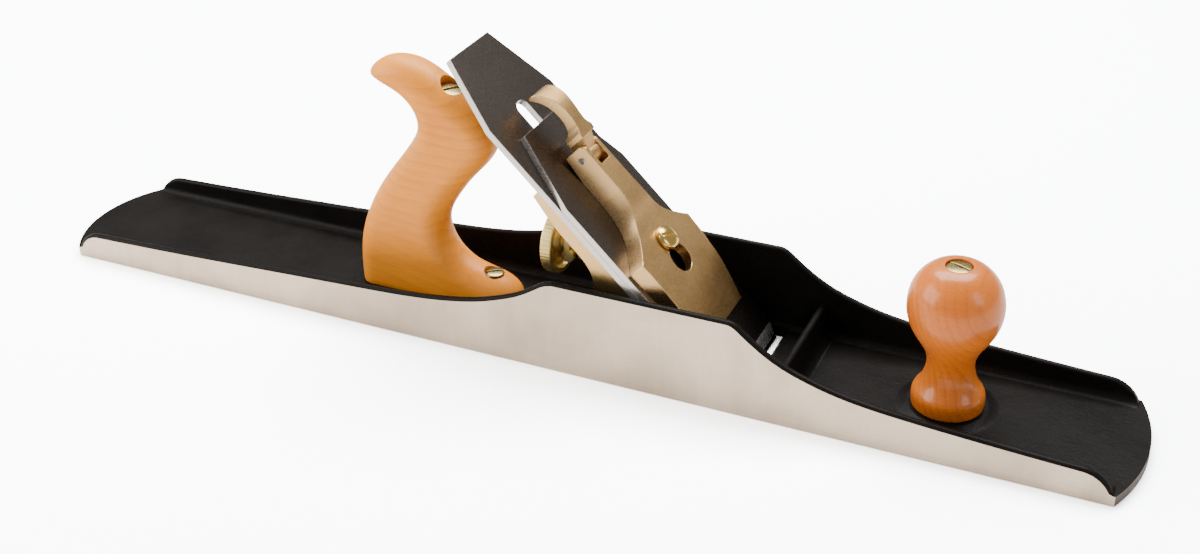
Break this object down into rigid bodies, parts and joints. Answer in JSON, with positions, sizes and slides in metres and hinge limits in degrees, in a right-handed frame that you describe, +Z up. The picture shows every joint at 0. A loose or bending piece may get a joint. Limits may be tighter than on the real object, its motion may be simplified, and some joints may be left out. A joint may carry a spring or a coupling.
{
  "type": "bench hand plane",
  "caption": "Long iron bench plane with bronze sliding frog, lever cap and cam, thick blade and cap iron, brass depth wheel, cherry tote and knob.",
  "frame": {"origin": "on the sole, midway along the overall length and across the width", "axes": "+X to the toe, +Y to the plane's left side seen from behind, +Z up"},
  "size_m": [0.5599, 0.0724, 0.1418],
  "materials": {
    "painted_casting": "black satin enamel over the casting, ground bare sole and sides",
    "bronze": "satin bead-blasted bronze with brighter rubbed edges",
    "brass": "polished turned brass",
    "spring_bronze": "dark copper-brown spring strip",
    "tool_steel": "fine ground, slightly warm grey",
    "steel": "plain machined steel",
    "tote_cherry": "satin oiled cherry",
    "knob_cherry": "glossy varnished cherry"
  },
  "bodies": {
    "plane": {"plane_body": "painted_casting", "knob": "knob_cherry", "knob_stud": "steel", "knob_nut": "brass", "tote": "tote_cherry", "tote_rod": "steel", "tote_nut": "brass", "tote_toe_screw": "brass", "frog_clamp_screws": "steel"},
    "frog_assembly": {"frog": "bronze", "frog_pins": "steel", "frog_tab": "steel", "frog_tab_screw": "steel", "adjuster_stud": "steel", "yoke_pin": "steel", "lateral_rivet": "steel", "lever_cap_screw": "brass"},
    "frog_screw": {"frog_adjusting_screw": "steel"},
    "depth_wheel": {"adjuster_wheel": "brass"},
    "yoke_lever": {"yoke": "bronze"},
    "lateral_adjuster": {"lateral_lever": "steel", "lateral_roller": "steel"},
    "blade_assembly": {"blade": "tool_steel", "cap_iron": "tool_steel", "cap_iron_screw": "steel"},
    "lever_cap_assembly": {"lever_cap": "bronze", "lever_cap_spring": "spring_bronze", "spring_rivet": "steel", "cam_pin": "steel"},
    "cam": {"cam_lever": "bronze"}
  },
  "joints": [
    {"name": "frog_slide", "type": "slide", "parent": "plane", "child": "frog_assembly", "axis": [0.9781, 0, -0.2079], "range_m": [-0.0015, 0.0007]},
    {"name": "frog_screw_spin", "type": "hinge", "parent": "frog_assembly", "child": "frog_screw", "pos_m": [0.0343, 0, 0.01322], "axis": [0.9781, 0, -0.2079], "range_deg": [-430, 205]},
    {"name": "depth_wheel_spin", "type": "hinge", "parent": "frog_assembly", "child": "depth_wheel", "pos_m": [0.005, 0, 0.0488], "axis": [1, 0, 0], "range_deg": [-360, 300]},
    {"name": "yoke_swing", "type": "hinge", "parent": "frog_assembly", "child": "yoke_lever", "pos_m": [0.02198, 0, 0.06795], "axis": [0, 1, 0], "range_deg": [-3.3, 2.75]},
    {"name": "lateral_swing", "type": "hinge", "parent": "frog_assembly", "child": "lateral_adjuster", "pos_m": [0.01399, 0, 0.08556], "axis": [0.7071, 0, 0.7071], "range_deg": [-3, 3]},
    {"name": "blade_slide", "type": "slide", "parent": "frog_assembly", "child": "blade_assembly", "axis": [0.7071, 0, -0.7071], "range_m": [-0.00068, 0.00057]},
    {"name": "lever_cap_slide", "type": "slide", "parent": "frog_assembly", "child": "lever_cap_assembly", "axis": [-0.7071, 0, 0.7071], "range_m": [0, 0.0106]},
    {"name": "cam_flip", "type": "hinge", "parent": "lever_cap_assembly", "child": "cam", "pos_m": [0.02184, 0, 0.09694], "axis": [0, 1, 0], "range_deg": [0, 90]}
  ],
  "couplings": [
    {"joint": "frog_screw_spin", "follows": "frog_slide", "rad_per_m": 4947.4},
    {"joint": "yoke_swing", "follows": "depth_wheel_spin", "ratio": 0.0089635},
    {"joint": "blade_slide", "follows": "depth_wheel_spin", "m_per_rad": 0.00010622}
  ]
}
